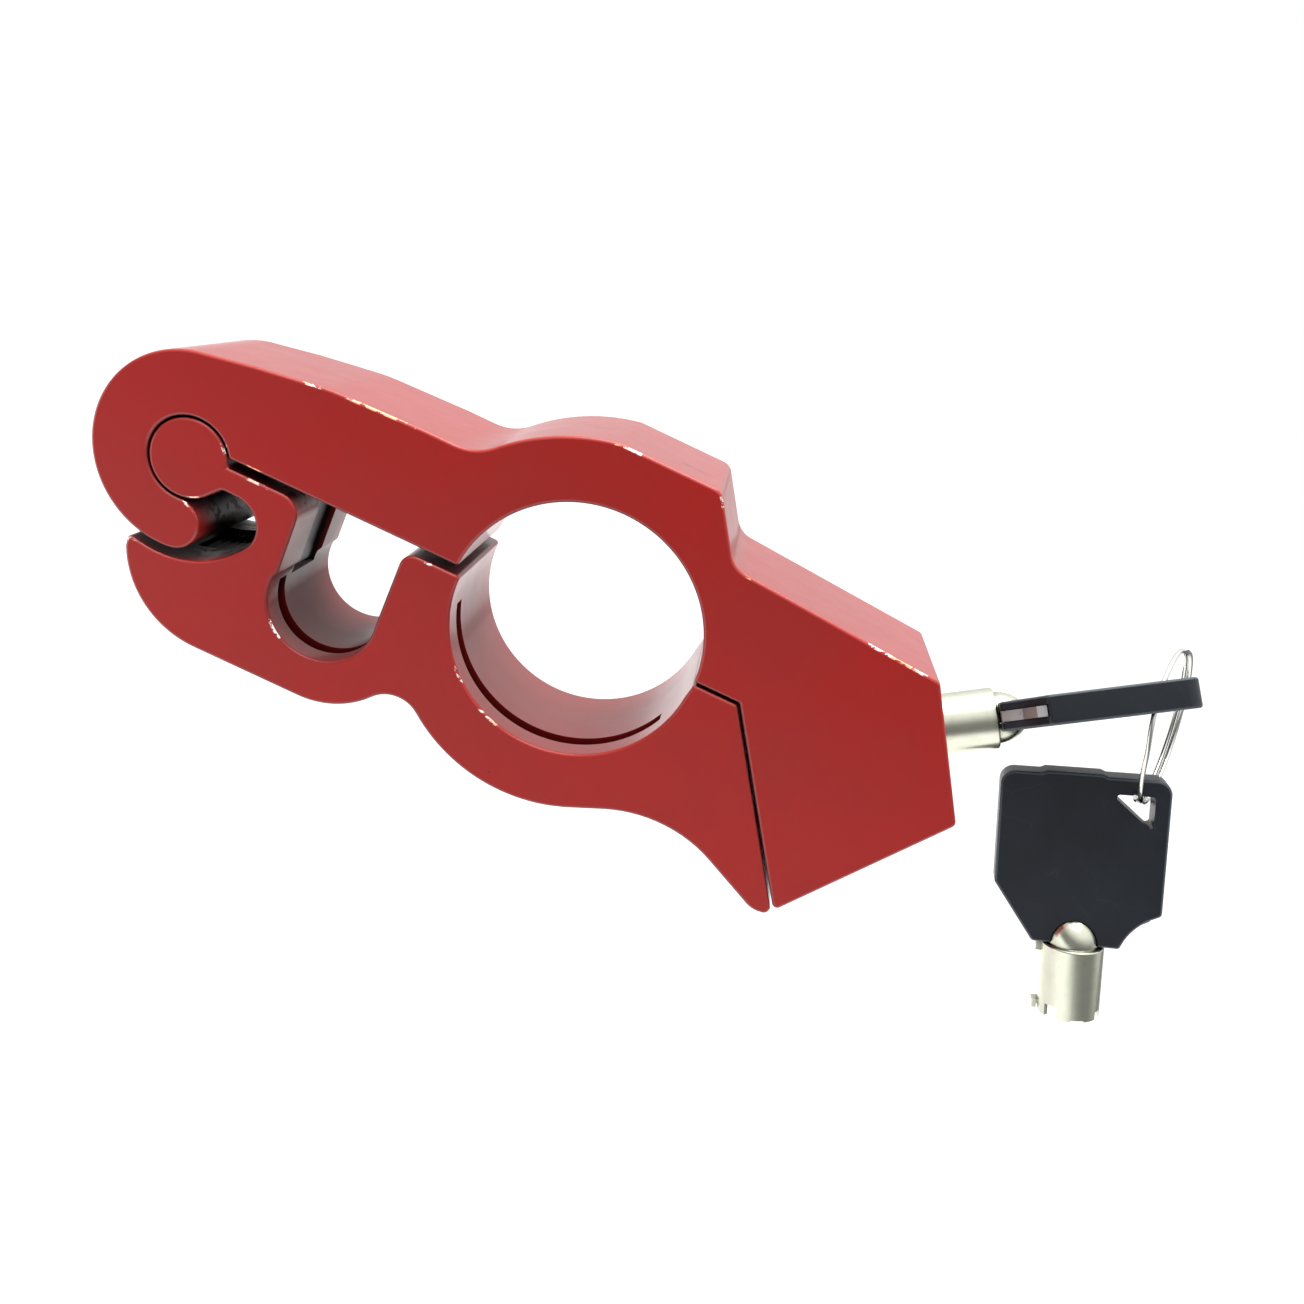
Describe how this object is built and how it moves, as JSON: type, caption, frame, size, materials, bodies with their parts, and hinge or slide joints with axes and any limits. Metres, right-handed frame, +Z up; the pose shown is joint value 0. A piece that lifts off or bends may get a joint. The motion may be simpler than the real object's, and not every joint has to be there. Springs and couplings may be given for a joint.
{
  "type": "handlebar grip and brake lever lock",
  "caption": "Two-jaw clamp lock that closes round a handlebar grip and its brake lever; a tubular key turns a deadbolt that holds the jaws shut, with a spare key on a split ring.",
  "frame": {"origin": "the hinge axis on the front face of the knuckle", "axes": "+X along the bar from the hinge to the lock, +Y from the front face to the back face, +Z up; the lock stands on the lower jaw"},
  "size_m": [0.1743, 0.025, 0.0621],
  "materials": {
    "red_paint": "semi-gloss red paint on cast and machined aluminium, worn thin at the front edges",
    "nickel": "bright nickel plate",
    "steel": "plain turned steel",
    "hardened_steel": "stamped and hardened steel",
    "brass": "turned brass",
    "black_plastic": "satin blue-black moulded plastic"
  },
  "bodies": {
    "upper": {"upper_jaw": "red_paint", "lock_shell": "nickel", "shell_pin": "steel", "pin_bushing": "brass", "bushing_pin": "steel", "hinge_screw": "steel", "driver_1": "steel", "driver_2": "steel", "driver_3": "steel", "driver_4": "steel", "driver_5": "steel", "driver_6": "steel", "driver_7": "steel", "driver_spring_1": "steel", "driver_spring_2": "steel", "driver_spring_3": "steel", "driver_spring_4": "steel", "driver_spring_5": "steel", "driver_spring_6": "steel", "driver_spring_7": "steel"},
    "lower": {"lower_jaw": "red_paint", "core_plate": "hardened_steel", "core_rivet": "steel"},
    "rotor": {"rotor": "brass", "drive_barrel": "steel", "barrel_screw": "steel", "key_pin_1": "brass", "key_pin_2": "brass", "key_pin_3": "brass", "key_pin_4": "brass", "key_pin_5": "brass", "key_pin_6": "brass", "key_pin_7": "brass"},
    "bolt": {"bolt": "steel", "drive_pin": "steel"},
    "key": {"key_barrel": "nickel", "key_blank": "hardened_steel", "key_bow": "black_plastic"},
    "ring": {"split_ring": "nickel"},
    "spare_key": {"spare_barrel": "nickel", "spare_blank": "hardened_steel", "spare_bow": "black_plastic"}
  },
  "joints": [
    {"name": "jaw_hinge", "type": "hinge", "parent": "upper", "child": "lower", "pos_m": [0, 0.0125, 0], "axis": [0, 1, 0], "range_deg": [0, 36]},
    {"name": "key_turn", "type": "hinge", "parent": "upper", "child": "rotor", "pos_m": [0.1169, 0.0125, 0.0082], "axis": [-0.8241, 0, -0.5664], "range_deg": [0, 90]},
    {"name": "bolt_slide", "type": "slide", "parent": "upper", "child": "bolt", "axis": [-0.8241, 0, -0.5664], "range_m": [0, 0.0045]},
    {"name": "key_slide", "type": "slide", "parent": "rotor", "child": "key", "axis": [0.8241, 0, 0.5664], "range_m": [0, 0.016]},
    {"name": "ring_swing", "type": "hinge", "parent": "key", "child": "ring", "pos_m": [0.14017, 0.00419, 0.02837], "axis": [0.5103, 0.8563, -0.0797], "range_deg": [-4, 4]},
    {"name": "spare_swing", "type": "hinge", "parent": "ring", "child": "spare_key", "pos_m": [0.14954, 0.01079, 0.01162], "axis": [-0.4916, -0.8708, 0], "range_deg": [-10, 10]}
  ],
  "couplings": [
    {"joint": "bolt_slide", "follows": "key_turn", "m_per_rad": 0.0028647}
  ]
}
